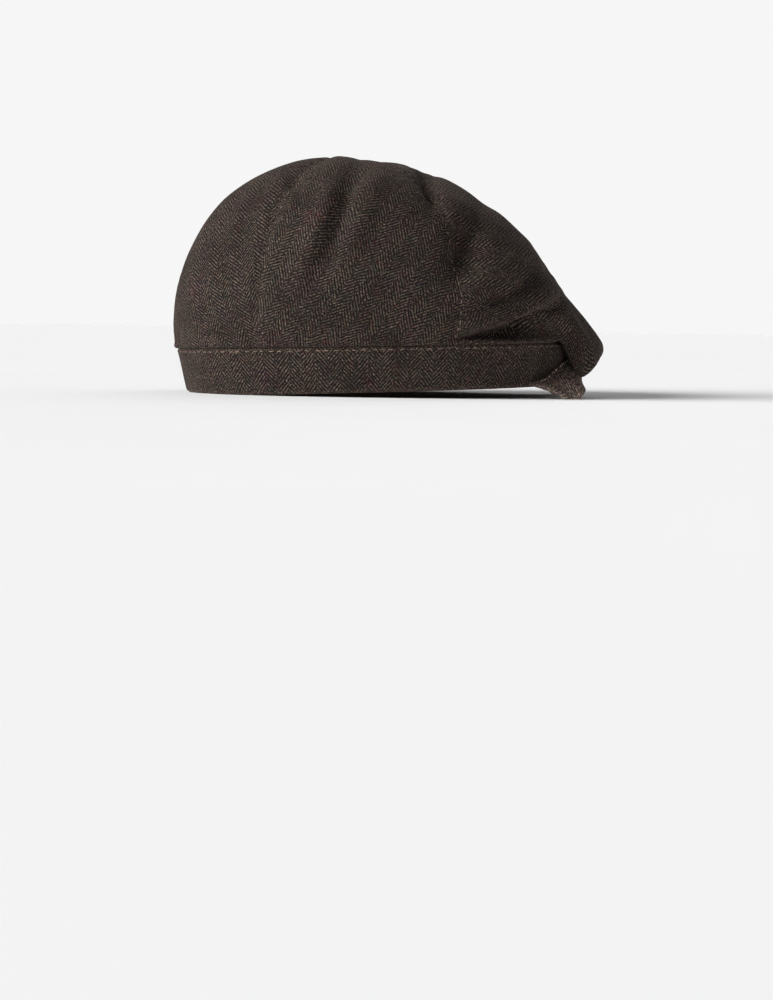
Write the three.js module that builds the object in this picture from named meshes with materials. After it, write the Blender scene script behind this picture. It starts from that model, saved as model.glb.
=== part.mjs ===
// A newsboy flat cap in herringbone wool: six crown panels, a band all the way round the head,
// and a short peak that the front of the crown rolls down over.
// Units are millimetres. +Z is up, +X is the way the wearer faces, and +Y is the wearer's left.
// The cap rests on the back of its band and on the two drooping corners of its peak.

import * as THREE from "three";

// The head opening, measured along the seam between the band and the crown
const bandLength = 214;
const bandWidth = 168;
const bandHeight = 24;
const bandWall = 3;
const bandTaper = 4.5; // how far the lower edge draws in
const bandRound = 1.5; // 1 is a straight face, and more is rounder towards the lower edge
const bandFlare = 1.4; // how far the top edge turns out under the crown
const flareCurve = 4; // more keeps the flare closer to the top edge
const frontBulge = 3.2; // how far the peak draws out the band's front
const bulgeCurve = 2.1; // 1 puts the bulge at half the band's height, and more puts it higher
const ovalPower = 2.3; // 2 is an ellipse, and more is squarer
const restSlopeDegrees = 1.8; // the band climbs towards the front by this much
const footShare = 0.16; // share of the band's length that lies flat on the surface

// The crown
const frontPanelShare = 0.352; // of half the way round the head, and the back panel takes the rest
const sidePanelShare = 0.335;
const crownHeight = 105; // from the band's top edge to the level of the top
const clothWall = 2;
const apexSetback = 11; // how far the top point lies behind the middle of the band
const apexHole = 1.4; // radius of the pinhole where the panel tips meet
const apexRise = 0.962; // share of the crown's height at the top point, which lies in a slight dip
const hemReach = 0.026; // share of the seam's radius that the cloth steps out over the band
const panelPuff = 1.6; // how far a panel's middle stands proud of its seams
const seamSink = 1.3; // how deep the seams lie
const seamSpread = 5; // how wide the hollow beside a seam is
const puffRise = 0.29; // share of the way up by which the puff has grown to its full height
const foldRise = 0.13; // the same for the folds
const foldEnds = 0.35; // share of a fold's lift that is left at its two ends
const middleClear = 21; // folds fade out this close to the middle of the front
const apexClear = 28; // the puff fades out this close to the top point

// The peak
const peakWidth = 106;
const peakWall = 2.6;
const peakReach = 27; // how far it comes forward of its corners
const peakBelow = 5.5; // how far below the crown seam its joint runs at the middle
const peakClimb = 1.9; // more makes the joint climb later, closer to the middle
const peakCornerDepth = 4; // how far above the band's lower edge its joint ends
const peakArch = 0.6; // how far its face bows out between its edges
const peakFan = 0.9; // how much the bow turns sideways towards the corners
const peakLift = 0.35; // how much it turns up

// Sewn pieces keep this small gap
const seamGap = 0.3;
const panelGap = 0.36; // between two crown panels, whose inner faces lean together in a fold

// Mesh fineness
const panelColumns = 12;
const panelRows = 24;
const bandSegments = 96;
const bandLevels = [0, 0.2, 0.45, 0.75, 1]; // shares of its height
const peakColumns = 32;
const peakRows = 5;
const ovalSteps = 720; // for measuring half the way round
const foldSamples = 10;
const turnStep = 0.004; // for finding slopes
const riseStep = 0.004;
const rowCrowding = 1.2; // above 1 sets the rows closer together near the band

// Sections of the crown, by the angle from the front as seen from the top point.
// Each cell is [reach, rise]: shares of the seam's radius and of the crown's height.
const crownSections = [
  { angle: 0, lip: [1.1, -0.1], belly: [1.182, -0.045], flank: [1.01, 0.26],
    shoulder: [0.8, 0.57], brow: [0.53, 0.795], crest: [0.26, 0.93] },
  { angle: 8, lip: [1.112, -0.15], belly: [1.18, -0.055], flank: [1.005, 0.255],
    shoulder: [0.8, 0.57], brow: [0.53, 0.795], crest: [0.26, 0.93] },
  { angle: 14, lip: [1.1, -0.18], belly: [1.165, -0.075], flank: [0.995, 0.255],
    shoulder: [0.8, 0.575], brow: [0.53, 0.8], crest: [0.26, 0.932] },
  { angle: 22, lip: [1.045, 0.0], belly: [1.085, 0.08], flank: [0.995, 0.3],
    shoulder: [0.81, 0.6], brow: [0.54, 0.815], crest: [0.26, 0.935] },
  { angle: 57, lip: [1.045, 0.05], belly: [1.08, 0.17], flank: [1.02, 0.43],
    shoulder: [0.85, 0.7], brow: [0.57, 0.87], crest: [0.26, 0.953] },
  { angle: 90, lip: [1.05, 0.05], belly: [1.095, 0.18], flank: [1.05, 0.45],
    shoulder: [0.88, 0.745], brow: [0.6, 0.915], crest: [0.26, 0.975] },
  { angle: 135, lip: [1.035, 0.045], belly: [1.06, 0.16], flank: [1.01, 0.43],
    shoulder: [0.84, 0.73], brow: [0.56, 0.91], crest: [0.26, 0.98] },
  { angle: 180, lip: [1.024, 0.035], belly: [1.032, 0.15], flank: [0.985, 0.41],
    shoulder: [0.82, 0.71], brow: [0.545, 0.895], crest: [0.26, 0.97] },
];
const stations = ["lip", "belly", "flank", "shoulder", "brow", "crest"];

// The peak's free edge at equal steps from its middle to its corner. Forward is a share of the
// peak's reach, side of half its width, and rise of the height of its joint at the middle.
const peakEdge = [
  { forward: 1.0, side: 0, rise: 0.58 },
  { forward: 0.99, side: 0.27, rise: 0.5 },
  { forward: 0.96, side: 0.54, rise: 0.33 },
  { forward: 1.0, side: 0.82, rise: 0.16 },
  { forward: 0.93, side: 0.94, rise: 0.04 },
  { forward: 0.78, side: 0.98, rise: -0.02 },
  { forward: 0.4, side: 1.0, rise: 0.1 },
  { forward: 0.02, side: 0.98, rise: 0.24 },
];

// Folds of the crown, seen from the side. Each point is [along, up]: shares of the band's length
// from its back and of the crown's height. Side is -1 on the right of the head and 1 on the left.
// Spread is a share of the crown's height, and lift one of its hundredths: a hollow is negative.
const folds = [
  { name: "top pleat", side: -1, from: [0.45, 0.97], via: [0.42, 0.78],
    to: [0.35, 0.36], spread: 0.06, lift: -2.6 },
  { name: "pleat ridge", side: -1, from: [0.37, 0.93], via: [0.34, 0.75],
    to: [0.28, 0.5], spread: 0.07, lift: 1.6 },
  { name: "rear pinch", side: -1, from: [0.29, 0.9], via: [0.31, 0.83],
    to: [0.33, 0.72], spread: 0.05, lift: -2.2 },
  { name: "front dent", side: -1, from: [0.62, 0.93], via: [0.635, 0.86],
    to: [0.64, 0.74], spread: 0.045, lift: -4.4 },
  { name: "upper hollow", side: -1, from: [0.68, 0.36], via: [0.72, 0.5],
    to: [0.79, 0.66], spread: 0.075, lift: -3.6 },
  { name: "middle ridge", side: -1, from: [0.7, 0.3], via: [0.8, 0.38],
    to: [0.9, 0.54], spread: 0.07, lift: 2.8 },
  { name: "shelf", side: -1, from: [0.74, 0.13], via: [0.86, 0.19],
    to: [0.97, 0.3], spread: 0.06, lift: 2.4 },
  { name: "deep crease", side: -1, from: [0.68, 0.02], via: [0.84, 0.06],
    to: [0.98, 0.2], spread: 0.045, lift: -4.8 },
  { name: "left pleat", side: 1, from: [0.5, 0.95], via: [0.5, 0.75],
    to: [0.45, 0.4], spread: 0.07, lift: -2.4 },
  { name: "left dent", side: 1, from: [0.62, 0.9], via: [0.65, 0.82],
    to: [0.66, 0.7], spread: 0.05, lift: -3.4 },
  { name: "left hollow", side: 1, from: [0.7, 0.4], via: [0.75, 0.5],
    to: [0.82, 0.62], spread: 0.08, lift: -3.2 },
  { name: "left ridge", side: 1, from: [0.72, 0.26], via: [0.82, 0.34],
    to: [0.92, 0.48], spread: 0.07, lift: 2.6 },
  { name: "left crease", side: 1, from: [0.7, 0.03], via: [0.84, 0.08],
    to: [0.98, 0.21], spread: 0.05, lift: -4.2 },
];

const halfLength = bandLength / 2;
const restSlope = Math.tan(THREE.MathUtils.degToRad(restSlopeDegrees));
const apexX = -apexSetback;

const clamp01 = (value) => Math.min(1, Math.max(0, value));
const smooth = (value) => value * value * (3 - 2 * value);

// A point on the band's outer oval, made larger or smaller by grow.
function ovalPoint(turn, grow) {
  const power = 2 / ovalPower;
  const c = Math.cos(turn);
  const s = Math.sin(turn);
  return new THREE.Vector2(
    Math.sign(c) * Math.abs(c) ** power * (halfLength + grow),
    Math.sign(s) * Math.abs(s) ** power * (bandWidth / 2 + grow),
  );
}

// Turns of the oval at which the crown's seams stand, from the front centre round.
function seamTurns() {
  const lengths = [0];
  for (let i = 1; i <= ovalSteps; i++) {
    const here = ovalPoint((Math.PI * i) / ovalSteps, 0);
    const before = ovalPoint((Math.PI * (i - 1)) / ovalSteps, 0);
    lengths.push(lengths[i - 1] + here.distanceTo(before));
  }
  const turnAt = (share) => {
    const target = share * lengths[ovalSteps];
    return (Math.PI * lengths.findIndex((length) => length >= target)) / ovalSteps;
  };
  const front = turnAt(frontPanelShare);
  const rear = turnAt(frontPanelShare + sidePanelShare);
  const full = 2 * Math.PI;
  return [0, front, rear, full / 2, full - rear, full - front, full];
}

// Height of the band's top edge.
const seamHeight = (x) => bandHeight + (x + halfLength) * restSlope;

// Height of the band's lower edge, which lies flat at the back.
function hemHeight(x) {
  const along = (x + halfLength) / bandLength;
  const ramp = clamp01((along - footShare) / (1 - footShare));
  return ramp * bandLength * restSlope;
}

// The crown sections' values at an angle, through the rows by cubic steps with level ends.
function sectionAt(angle) {
  const rows = crownSections;
  const last = rows.length - 1;
  let k = 0;
  while (k < last - 1 && angle > rows[k + 1].angle) k++;
  const span = rows[k + 1].angle - rows[k].angle;
  const share = clamp01((angle - rows[k].angle) / span);
  const slopeAt = (i, read) =>
    i === 0 || i === last
      ? 0
      : (read(rows[i + 1]) - read(rows[i - 1])) / (rows[i + 1].angle - rows[i - 1].angle);
  return stations.map((station) =>
    [0, 1].map((axis) => {
      const read = (row) => row[station][axis];
      const s2 = share * share;
      const s3 = s2 * share;
      return (
        (2 * s3 - 3 * s2 + 1) * read(rows[k]) +
        (s3 - 2 * s2 + share) * span * slopeAt(k, read) +
        (3 * s2 - 2 * s3) * read(rows[k + 1]) +
        (s3 - s2) * span * slopeAt(k + 1, read)
      );
    }),
  );
}

// The curve of the crown from the seam at this turn of the oval up to the top point.
const meridians = new Map();
function meridian(turn) {
  const key = turn.toFixed(7);
  if (!meridians.has(key)) {
    const seam = ovalPoint(turn, 0);
    const outward = new THREE.Vector2(seam.x - apexX, seam.y);
    const radius = outward.length();
    const angle = Math.abs(THREE.MathUtils.radToDeg(outward.angle()));
    const fromFront = angle > 180 ? 360 - angle : angle;
    const cells = [
      [1, 0],
      [1 + hemReach, hemReach / 2],
      ...sectionAt(fromFront),
      [0, apexRise],
    ];
    const points = cells.map(([reach, rise]) => new THREE.Vector3(reach * radius, rise * crownHeight, 0));
    meridians.set(key, {
      curve: new THREE.CatmullRomCurve3(points, false, "centripetal"),
      outward: outward.normalize(),
    });
  }
  return meridians.get(key);
}

// The smooth crown, without seams and folds.
function plainCrown(turn, rise) {
  const { curve, outward } = meridian(turn);
  const station = curve.getPointAt(clamp01(rise));
  const x = apexX + outward.x * station.x;
  const y = outward.y * station.x;
  return new THREE.Vector3(x, y, seamHeight(x) + seamGap + station.y);
}

// The outward normal of a surface given by its turn and its rise.
function normalOf(surface, turn, rise) {
  const low = Math.max(0, rise - riseStep);
  const high = Math.min(1, rise + riseStep);
  const across = surface(turn + turnStep, rise).sub(surface(turn - turnStep, rise));
  const up = surface(turn, high).sub(surface(turn, low));
  return across.cross(up).normalize();
}

// Each fold as points along its line, in millimetres of the side view.
const foldLines = folds.map((fold) => {
  const place = ([along, up]) => new THREE.Vector2(along * bandLength - halfLength, up * crownHeight);
  const line = new THREE.QuadraticBezierCurve(place(fold.from), place(fold.via), place(fold.to));
  return {
    points: line.getPoints(foldSamples),
    side: fold.side,
    spread: fold.spread * crownHeight,
    lift: (fold.lift * crownHeight) / 100,
  };
});

// How far the folds lift or sink the cloth at a point.
function foldLift(point) {
  const seen = new THREE.Vector2(point.x, point.z - seamHeight(point.x));
  const sideways = clamp01(Math.abs(point.y) / middleClear);
  let lift = 0;
  for (const { points, side, spread, lift: depth } of foldLines) {
    if (side * point.y <= 0) continue;
    let nearest = Infinity;
    let along = 0;
    for (let i = 0; i < foldSamples; i++) {
      const from = points[i];
      const step = points[i + 1].clone().sub(from);
      const share = clamp01(seen.clone().sub(from).dot(step) / step.lengthSq());
      const distance = from.clone().addScaledVector(step, share).distanceTo(seen);
      if (distance < nearest) {
        nearest = distance;
        along = (i + share) / foldSamples;
      }
    }
    const fade = foldEnds + (1 - foldEnds) * Math.sin(Math.PI * along);
    lift += depth * fade * Math.exp(-((nearest / spread) ** 2)) * smooth(sideways);
  }
  return lift;
}

// The crown with its puffed panels, sunk seams and folds.
function crownSurface(turns) {
  return (turn, rise) => {
    const base = plainCrown(turn, rise);
    const full = 2 * Math.PI;
    const around = ((turn % full) + full) % full;
    let k = 0;
    while (k < turns.length - 2 && around > turns[k + 1]) k++;
    const share = clamp01((around - turns[k]) / (turns[k + 1] - turns[k]));
    const reach = Math.hypot(base.x - apexX, base.y);
    const width = (turns[k + 1] - turns[k]) * reach;
    const fromSeam = Math.min(share, 1 - share) * width;
    const away = smooth(clamp01(rise / puffRise)) * smooth(clamp01(reach / apexClear));
    const sink = seamSink * Math.exp(-((fromSeam / seamSpread) ** 2));
    const puff = panelPuff * Math.sin(Math.PI * share);
    const lift = away * (puff - sink) + foldLift(base) * smooth(clamp01(rise / foldRise));
    return base.addScaledVector(normalOf(plainCrown, turn, rise), lift);
  };
}

// A closed shell from a grid of outer points and the matching grid of inner points.
function shellGeometry(outer, inner) {
  const rows = outer.length;
  const columns = outer[0].length;
  const positions = [...outer.flat(), ...inner.flat()].flatMap((p) => [p.x, p.y, p.z]);
  const at = (side, i, j) => side * rows * columns + i * columns + j;
  const index = [];
  const quad = (a, b, c, d) => index.push(a, b, c, a, c, d);
  for (let i = 0; i < rows - 1; i++) {
    for (let j = 0; j < columns - 1; j++) {
      quad(at(0, i, j), at(0, i, j + 1), at(0, i + 1, j + 1), at(0, i + 1, j));
      quad(at(1, i, j), at(1, i + 1, j), at(1, i + 1, j + 1), at(1, i, j + 1));
    }
  }
  for (let i = 0; i < rows - 1; i++) {
    quad(at(0, i, 0), at(0, i + 1, 0), at(1, i + 1, 0), at(1, i, 0));
    const j = columns - 1;
    quad(at(0, i, j), at(1, i, j), at(1, i + 1, j), at(0, i + 1, j));
  }
  for (let j = 0; j < columns - 1; j++) {
    quad(at(0, 0, j), at(1, 0, j), at(1, 0, j + 1), at(0, 0, j + 1));
    const i = rows - 1;
    quad(at(0, i, j), at(0, i, j + 1), at(1, i, j + 1), at(1, i, j));
  }
  const geometry = new THREE.BufferGeometry();
  geometry.setAttribute("position", new THREE.Float32BufferAttribute(positions, 3));
  geometry.setIndex(index);
  geometry.computeVertexNormals();
  return geometry;
}

// One crown panel between two seams, with the sewing gap along its edges.
function crownPanel(surface, start, end) {
  const outer = [];
  const inner = [];
  const length = meridian((start + end) / 2).curve.getLength();
  const lastRise = 1 - apexHole / length;
  for (let i = 0; i <= panelRows; i++) {
    const rise = lastRise * (i / panelRows) ** rowCrowding;
    const width = plainCrown(start, rise).distanceTo(plainCrown(end, rise));
    const trim = ((panelGap / 2) * (end - start)) / width;
    const outerRow = [];
    const innerRow = [];
    for (let j = 0; j <= panelColumns; j++) {
      const turn = THREE.MathUtils.lerp(start + trim, end - trim, j / panelColumns);
      const point = surface(turn, rise);
      const normal = normalOf(surface, turn, rise);
      outerRow.push(point);
      innerRow.push(point.clone().addScaledVector(normal, -clothWall));
    }
    outer.push(outerRow);
    inner.push(innerRow);
  }
  return shellGeometry(outer, inner);
}

// The turn of the oval at which the peak's corners lie, and their distance forward.
const cornerTurn = Math.asin((peakWidth / bandWidth) ** (ovalPower / 2));
const cornerX = ovalPoint(cornerTurn, 0).x;

// How far the band's face stands out from the crown seam's oval, at a height.
function faceGrow(x, height) {
  const share = clamp01((height - hemHeight(x)) / (seamHeight(x) - hemHeight(x)));
  const forward = smooth(clamp01((x - cornerX) / (halfLength - cornerX)));
  const bulge = frontBulge * forward * Math.sin(Math.PI * share ** bulgeCurve);
  return bandFlare * share ** flareCurve - bandTaper * (1 - share) ** bandRound + bulge;
}

// The band: a closed ring with a rounded, slightly tapered wall.
function bandGeometry() {
  const positions = [];
  const index = [];
  const loop = 2 * bandLevels.length;
  for (let i = 0; i < bandSegments; i++) {
    const turn = (2 * Math.PI * i) / bandSegments;
    const edge = ovalPoint(turn, 0);
    const column = [];
    const place = (level, inset) => {
      const low = hemHeight(edge.x);
      const height = low + (seamHeight(edge.x) - low) * level;
      const spot = ovalPoint(turn, faceGrow(edge.x, height) - inset);
      column.push(spot.x, spot.y, height);
    };
    bandLevels.forEach((level) => place(level, 0));
    bandLevels.toReversed().forEach((level) => place(level, bandWall));
    positions.push(...column);
  }
  for (let i = 0; i < bandSegments; i++) {
    const next = (i + 1) % bandSegments;
    for (let j = 0; j < loop; j++) {
      const up = (j + 1) % loop;
      const a = i * loop + j;
      const b = next * loop + j;
      const c = next * loop + up;
      const d = i * loop + up;
      index.push(a, b, c, a, c, d);
    }
  }
  const geometry = new THREE.BufferGeometry();
  geometry.setAttribute("position", new THREE.Float32BufferAttribute(positions, 3));
  geometry.setIndex(index);
  geometry.computeVertexNormals();
  return geometry;
}

// Height of the peak's joint at the middle.
const jointHeight = seamHeight(halfLength) - peakBelow;

// The peak's joint with the band: low at the corners and high at the middle.
function peakJoint(share) {
  const turn = share * cornerTurn;
  const edge = ovalPoint(turn, 0);
  const forward = clamp01((edge.x - cornerX) / (halfLength - cornerX));
  const low = hemHeight(cornerX) + peakCornerDepth;
  const height = THREE.MathUtils.lerp(low, jointHeight, forward ** peakClimb);
  const spot = ovalPoint(turn, faceGrow(edge.x, height) + seamGap + peakWall / 2);
  return new THREE.Vector3(spot.x, spot.y, height);
}

// The peak's free edge: arched at the middle, with drooping corners.
const peakRimCurve = new THREE.CatmullRomCurve3(
  peakEdge.map(({ forward, side, rise }) => {
    const x = cornerX + forward * peakReach;
    return new THREE.Vector3(x, (side * peakWidth) / 2, rise * jointHeight);
  }),
);
function peakRim(share) {
  const spot = peakRimCurve.getPoint(Math.abs(share));
  spot.y *= Math.sign(share);
  return spot;
}

// The peak's middle surface, from its joint to its rim, bowed out between them.
function peakSurface(share, depth) {
  const joint = peakJoint(share);
  const rim = peakRim(share);
  const out = new THREE.Vector3(1, peakFan * share, peakLift).normalize();
  return joint.lerp(rim, depth).addScaledVector(out, peakArch * Math.sin(Math.PI * depth));
}

// The direction in which the band's face looks at a turn of the oval.
function ovalOutward(turn) {
  const along = ovalPoint(turn + turnStep, 0).sub(ovalPoint(turn - turnStep, 0)).normalize();
  return new THREE.Vector3(along.y, -along.x, 0);
}

// The peak as one stiff plate that meets the band, flattened where its corners rest.
function peakGeometry() {
  const outer = [];
  const inner = [];
  const step = 0.01; // of the share and the depth, for finding slopes
  for (let i = 0; i <= peakRows; i++) {
    const depth = 1 - i / peakRows;
    const outerRow = [];
    const innerRow = [];
    for (let j = 0; j <= peakColumns; j++) {
      const share = (2 * j) / peakColumns - 1;
      const point = peakSurface(share, depth);
      const before = peakSurface(Math.max(-1, share - step), depth);
      const after = peakSurface(Math.min(1, share + step), depth);
      const higher = peakSurface(share, Math.max(0, depth - step));
      const lower = peakSurface(share, Math.min(1, depth + step));
      const normal = after.sub(before).cross(higher.sub(lower)).normalize();
      const outward = ovalOutward(share * cornerTurn);
      const slack = (1 - Math.abs(normal.dot(outward))) * (peakWall / 2) * (1 - depth);
      point.addScaledVector(outward, -slack);
      const place = (offset) => {
        const spot = point.clone().addScaledVector(normal, offset);
        spot.z = Math.max(0, spot.z);
        return spot;
      };
      outerRow.push(place(peakWall / 2));
      innerRow.push(place(-peakWall / 2));
    }
    outer.push(outerRow);
    inner.push(innerRow);
  }
  return shellGeometry(outer, inner);
}

function wool(color) {
  return new THREE.MeshStandardMaterial({ color, roughness: 0.95, metalness: 0 });
}

function named(name, geometry, color) {
  const mesh = new THREE.Mesh(geometry, wool(color));
  mesh.name = name;
  return mesh;
}

const cap = new THREE.Group();
const turns = seamTurns();
const crown = crownSurface(turns);
for (let k = 0; k < turns.length - 1; k++) {
  cap.add(named(`crown_panel_${k + 1}`, crownPanel(crown, turns[k], turns[k + 1]), 0x3a2f2b));
}
cap.add(named("band", bandGeometry(), 0x372c29));
cap.add(named("peak", peakGeometry(), 0x3d312e));

// The origin is the middle of the cap's footprint, on the surface that it rests on.
const bounds = new THREE.Box3().setFromObject(cap);
const centre = bounds.getCenter(new THREE.Vector3());
cap.position.set(-centre.x, -centre.y, -bounds.min.z);

export default cap;
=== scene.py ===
"""Dresses a herringbone newsboy cap: its panelled crown, head band, short peak and stitching.

The crown, band and peak follow the same driving sizes as the solids of the frame. Each cloth piece
starts as a flat grid, is laid over the cap's form, and then gets its folds, seams and thickness.
"""

import logging
import math
from dataclasses import dataclass, field
from enum import Enum, IntEnum
from typing import Any, Sequence, Union

import bmesh
import bpy
import numpy as np
from mathutils import Matrix, Vector


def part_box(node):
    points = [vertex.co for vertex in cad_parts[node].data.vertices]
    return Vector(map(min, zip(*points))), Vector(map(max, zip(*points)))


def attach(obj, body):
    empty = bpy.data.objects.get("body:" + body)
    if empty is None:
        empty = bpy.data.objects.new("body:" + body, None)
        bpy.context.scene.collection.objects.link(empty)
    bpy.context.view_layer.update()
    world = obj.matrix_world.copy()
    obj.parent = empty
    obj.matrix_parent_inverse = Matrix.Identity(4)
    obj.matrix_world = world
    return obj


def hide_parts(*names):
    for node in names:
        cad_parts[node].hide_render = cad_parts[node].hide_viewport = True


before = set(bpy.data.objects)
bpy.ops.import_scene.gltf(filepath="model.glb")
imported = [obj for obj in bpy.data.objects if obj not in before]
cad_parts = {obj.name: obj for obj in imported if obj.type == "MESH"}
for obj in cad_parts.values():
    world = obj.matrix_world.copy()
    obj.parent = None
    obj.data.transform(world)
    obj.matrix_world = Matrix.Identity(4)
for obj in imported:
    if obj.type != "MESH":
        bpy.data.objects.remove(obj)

log = logging.getLogger("cap")

Array = np.ndarray
Pair = tuple[float, float]
Colour = tuple[float, float, float]
Number = Union[int, float, "Value"]

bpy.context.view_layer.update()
MM = 0.001
FULL_TURN = 2 * math.pi
WEAVE_MAP = "weave"
WEAR_LAYER = "wear"


class Side(Enum):
    """A side of the head, with the sign of its Y."""

    RIGHT = -1
    LEFT = 1


class FoldKind(Enum):
    """How sharp a fold is."""

    SOFT = "soft"
    CREASE = "crease"


class Seed(IntEnum):
    """What the uneven waves and the random draws start from."""

    WAVER = 3
    FOLDS = 5
    SLACK = 11
    FINE_SLACK = 17
    BAND = 23
    STITCHES = 41


def smooth_step(value: Array) -> Array:
    """Eases a value from 0 to 1, with level ends."""
    held = np.clip(value, 0.0, 1.0)
    return held * held * (3 - 2 * held)


def unit(vectors: Array) -> Array:
    """Scales vectors to a length of one."""
    lengths = np.linalg.norm(vectors, axis=-1, keepdims=True)
    return vectors / np.maximum(lengths, 1e-12)


def ripple(points: Array, size: float, seed: Seed) -> Array:
    """Soft, uneven waves through space.

    Args:
        points: places, with X, Y and Z on the last axis.
        size: length of a typical wave.
        seed: picks the waves.

    Returns:
        A height for each place, mostly between -1 and 1.
    """
    waves = 9
    draw = np.random.default_rng(int(seed))
    total = np.zeros(points.shape[:-1])
    for _ in range(waves):
        direction = unit(draw.normal(size=3)) * draw.uniform(0.7, 1.4) * FULL_TURN / size
        total += np.sin(points @ direction + draw.uniform(0, FULL_TURN))
    return total / math.sqrt(waves * 2)


def curve_through(points: Array, steps: int) -> Array:
    """Smooth centripetal curve through points.

    Args:
        points: the points in order, one a row.
        steps: how many pieces each span is cut into.

    Returns:
        Points along the curve, both ends included.
    """
    first = 2 * points[0] - points[1]
    last = 2 * points[-1] - points[-2]
    held = np.vstack([first, points, last])
    share = np.linspace(0, 1, steps, endpoint=False)[:, None]
    spans = []
    for p0, p1, p2, p3 in zip(held, held[1:], held[2:], held[3:]):
        d0, d1, d2 = (max(np.linalg.norm(b - a) ** 0.5, 1e-6) for a, b in ((p0, p1), (p1, p2), (p2, p3)))
        leave = ((p1 - p0) / d0 - (p2 - p0) / (d0 + d1) + (p2 - p1) / d1) * d1
        reach = ((p2 - p1) / d1 - (p3 - p1) / (d1 + d2) + (p3 - p2) / d2) * d1
        square = 3 * (p2 - p1) - 2 * leave - reach
        cube = 2 * (p1 - p2) + leave + reach
        spans.append(p1 + leave * share + square * share**2 + cube * share**3)
    return np.vstack(spans + [points[-1:]])


def lengths_along(points: Array) -> Array:
    """Distance travelled at each point of a line, from its start."""
    steps = np.linalg.norm(np.diff(points, axis=0), axis=-1)
    return np.concatenate([[0.0], np.cumsum(steps)])


def at_distance(place: Union[float, Array], travelled: Array, values: Array) -> Array:
    """Places or directions at a distance along a line.

    Args:
        place: the distance, or several.
        travelled: the distance at each row of the values.
        values: X, Y and Z at those distances.

    Returns:
        X, Y and Z at the place, on the last axis.
    """
    return np.stack([np.interp(place, travelled, values[:, axis]) for axis in range(3)], axis=-1)


def new_object(name: str, data: bpy.types.ID) -> bpy.types.Object:
    """Makes an object of a mesh, lamp or camera, and puts it in the scene.

    Args:
        name: the object's name.
        data: what it shows.

    Returns:
        The object, at the origin.
    """
    made = bpy.data.objects.new(name, data)
    bpy.context.collection.objects.link(made)
    return made


def mesh_object(name: str, bm: bmesh.types.BMesh, material: bpy.types.Material) -> bpy.types.Object:
    """Turns a finished shape into an object.

    Args:
        name: name of the object and of its mesh.
        bm: the shape, which is freed.
        material: its material.

    Returns:
        The object, at the origin.
    """
    mesh = bpy.data.meshes.new(name)
    bm.to_mesh(mesh)
    bm.free()
    mesh.materials.append(material)
    return new_object(name, mesh)


@dataclass(frozen=True)
class WearLine:
    """A worn line along an edge of the cloth: its distance from the edge, width and strength."""

    away: float
    width: float
    strength: float

    def at(self, gap: Array) -> Array:
        """How worn the cloth is at a distance from the edge."""
        return self.strength * np.exp(-(((gap - self.away) / self.width) ** 2))


@dataclass(frozen=True)
class Section:
    """A section of the crown at an angle from the front.

    Each place is a pair of shares: of the seam's distance from the top point, and of the crown's
    height.
    """

    angle: float
    lip: Pair
    belly: Pair
    flank: Pair
    shoulder: Pair
    brow: Pair
    crest: Pair

    def cells(self) -> Array:
        """The section's places, from the lip up to the crest."""
        return np.array([self.lip, self.belly, self.flank, self.shoulder, self.brow, self.crest])


SECTIONS = (
    Section(0, (1.095, -0.095), (1.182, -0.045), (1.004, 0.257), (0.8, 0.57), (0.53, 0.795), (0.26, 0.93)),
    Section(8, (1.104, -0.14), (1.18, -0.055), (0.999, 0.252), (0.8, 0.57), (0.53, 0.795), (0.26, 0.93)),
    Section(14, (1.092, -0.174), (1.165, -0.075), (0.99, 0.254), (0.8, 0.575), (0.53, 0.8), (0.26, 0.932)),
    Section(22, (1.022, 0.055), (1.078, 0.14), (0.995, 0.32), (0.81, 0.6), (0.54, 0.815), (0.26, 0.935)),
    Section(57, (1.045, 0.05), (1.08, 0.17), (1.02, 0.43), (0.85, 0.7), (0.57, 0.87), (0.26, 0.953)),
    Section(90, (1.05, 0.05), (1.095, 0.18), (1.05, 0.45), (0.88, 0.745), (0.6, 0.915), (0.26, 0.975)),
    Section(135, (1.035, 0.045), (1.06, 0.16), (1.01, 0.43), (0.84, 0.73), (0.56, 0.91), (0.26, 0.98)),
    Section(180, (1.024, 0.035), (1.032, 0.15), (0.985, 0.41), (0.82, 0.71), (0.545, 0.895), (0.26, 0.97)),
)


CREASE_FALL = 1.7
CREASE_ROUND = 0.05
CREASE_TOP = 0.22
FOLD_STEPS = 16


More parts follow.
